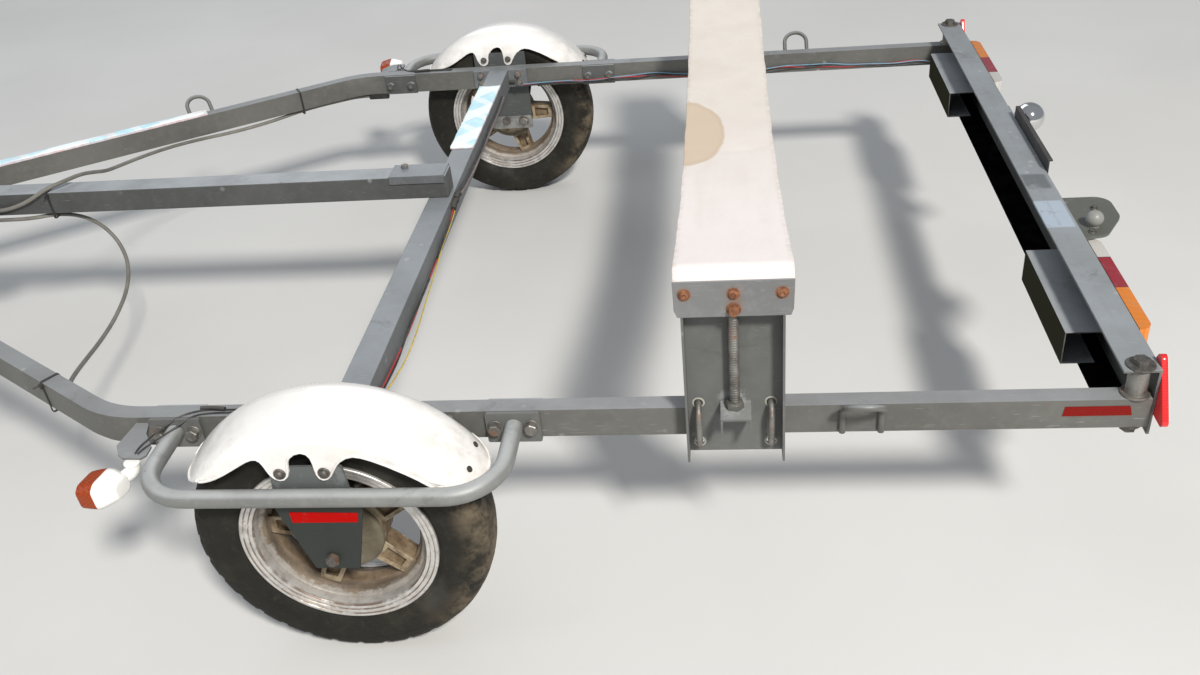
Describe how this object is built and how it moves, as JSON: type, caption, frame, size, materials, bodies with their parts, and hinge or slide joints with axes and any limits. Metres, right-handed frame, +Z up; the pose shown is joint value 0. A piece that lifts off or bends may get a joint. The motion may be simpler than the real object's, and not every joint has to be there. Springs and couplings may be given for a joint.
{
  "type": "boat trailer",
  "caption": "Light single-axle boat trailer with a bent-tube A-frame, small cast wheels in guard loops, a sagging sling belt between posts, a rear light beam, winch post and jockey wheel.",
  "frame": {"origin": "middle of the footprint, on the ground the three wheels stand on", "axes": "+X forward to the coupler, +Y to the trailer's left, +Z up"},
  "size_m": [3.424, 1.7732, 0.852],
  "materials": {
    "frame_paint": "satin grey paint, weathered",
    "beam_paint": "satin grey paint outside, black inside",
    "zinc_steel": "zinc-plated, dulled, some rust",
    "rim_alloy": "cast aluminium, dirty and pitted",
    "tyre_rubber": "worn tread, dusty sidewalls",
    "fender_white": "gloss white",
    "lamp_black": "black plastic",
    "lamp_lens": "clear, red and amber ribbed lens",
    "signal_white": "gloss white",
    "signal_orange": "orange lens",
    "reflector_red": "red prismatic reflector",
    "chrome": "chromed",
    "sling_webbing": "faded pinkish-white woven belt",
    "carpet": "pale patterned carpet pad",
    "black_rubber": "black rubber",
    "black_plastic": "black plastic",
    "knob_grey": "pale grey knob",
    "cable_grey": "grey cable sheath",
    "jack_zinc": "galvanised"
  },
  "bodies": {
    "chassis": {"axle_crossmember": "frame_paint", "axle_plates": "frame_paint", "beam_bolts": "zinc_steel", "beam_spacers": "zinc_steel", "bow_stop": "black_rubber", "cable_splices": "black_rubber", "coupler": "jack_zinc", "crossmember_pad": "carpet", "drawbar": "frame_paint", "drawbar_nose_clamp": "zinc_steel", "drawbar_saddle": "frame_paint", "fenders": "fender_white", "height_screws": "zinc_steel", "jack_clamp": "jack_zinc", "jack_grip": "black_plastic", "jack_tube": "jack_zinc", "junction_box": "black_plastic", "lamp_covers": "beam_paint", "left_cable": "cable_grey", "left_rail": "frame_paint", "number_plate_holder": "black_plastic", "number_plate_lamp": "chrome", "rail_backing_plates": "frame_paint", "rail_pads": "carpet", "rear_beam": "beam_paint", "rear_tab": "frame_paint", "rear_tab_knob": "knob_grey", "right_cable": "cable_grey", "right_rail": "frame_paint", "signal_bodies": "signal_white", "signal_brackets": "frame_paint", "signal_lenses": "signal_orange", "sling_belt": "sling_webbing", "sling_end_plates": "frame_paint", "sling_posts": "frame_paint", "sling_u_bolts": "zinc_steel", "tail_lamp_bodies": "lamp_black", "tail_lamp_lenses": "lamp_lens", "triangle_reflectors": "reflector_red", "wheel_axles": "zinc_steel", "wheel_guards": "frame_paint", "winch_frame": "jack_zinc", "winch_post": "frame_paint", "winch_post_clamp": "zinc_steel"},
    "left_wheel": {"left_rim": "rim_alloy", "left_tyre": "tyre_rubber"},
    "right_wheel": {"right_rim": "rim_alloy", "right_tyre": "tyre_rubber"},
    "handle": {"coupler_handle": "jack_zinc"},
    "drum": {"winch_drum": "jack_zinc"},
    "crank": {"winch_crank": "jack_zinc", "winch_grip": "black_plastic"},
    "jack_stem": {"jack_leg": "jack_zinc"},
    "jockey_caster": {"jockey_fork": "jack_zinc"},
    "jockey_wheel": {"jockey_wheel_hub": "black_plastic", "jockey_wheel_tyre": "black_rubber"}
  },
  "joints": [
    {"name": "left_wheel_spin", "type": "hinge", "parent": "chassis", "child": "left_wheel", "pos_m": [-0.528, 0.787, 0.217], "axis": [0, 1, 0], "continuous": true},
    {"name": "right_wheel_spin", "type": "hinge", "parent": "chassis", "child": "right_wheel", "pos_m": [-0.528, -0.787, 0.217], "axis": [0, 1, 0], "continuous": true},
    {"name": "coupler_handle_lift", "type": "hinge", "parent": "chassis", "child": "handle", "pos_m": [1.626, 0, 0.422], "axis": [0, -1, 0], "range_deg": [0, 55]},
    {"name": "winch_crank_turn", "type": "hinge", "parent": "chassis", "child": "crank", "pos_m": [1.106, 0, 0.832], "axis": [0, 1, 0], "continuous": true},
    {"name": "winch_drum_turn", "type": "hinge", "parent": "chassis", "child": "drum", "pos_m": [1.064, 0, 0.8], "axis": [0, 1, 0], "continuous": true},
    {"name": "jack_height", "type": "slide", "parent": "chassis", "child": "jack_stem", "axis": [0, 0, 1], "range_m": [-0.1, 0.09]},
    {"name": "jockey_swivel", "type": "hinge", "parent": "jack_stem", "child": "jockey_caster", "pos_m": [1.212, -0.064, 0.17], "axis": [0, 0, 1], "continuous": true},
    {"name": "jockey_wheel_spin", "type": "hinge", "parent": "jockey_caster", "child": "jockey_wheel", "pos_m": [1.18, -0.064, 0.08], "axis": [0, 1, 0], "continuous": true}
  ],
  "couplings": [
    {"joint": "winch_drum_turn", "follows": "winch_crank_turn", "ratio": -0.3}
  ]
}
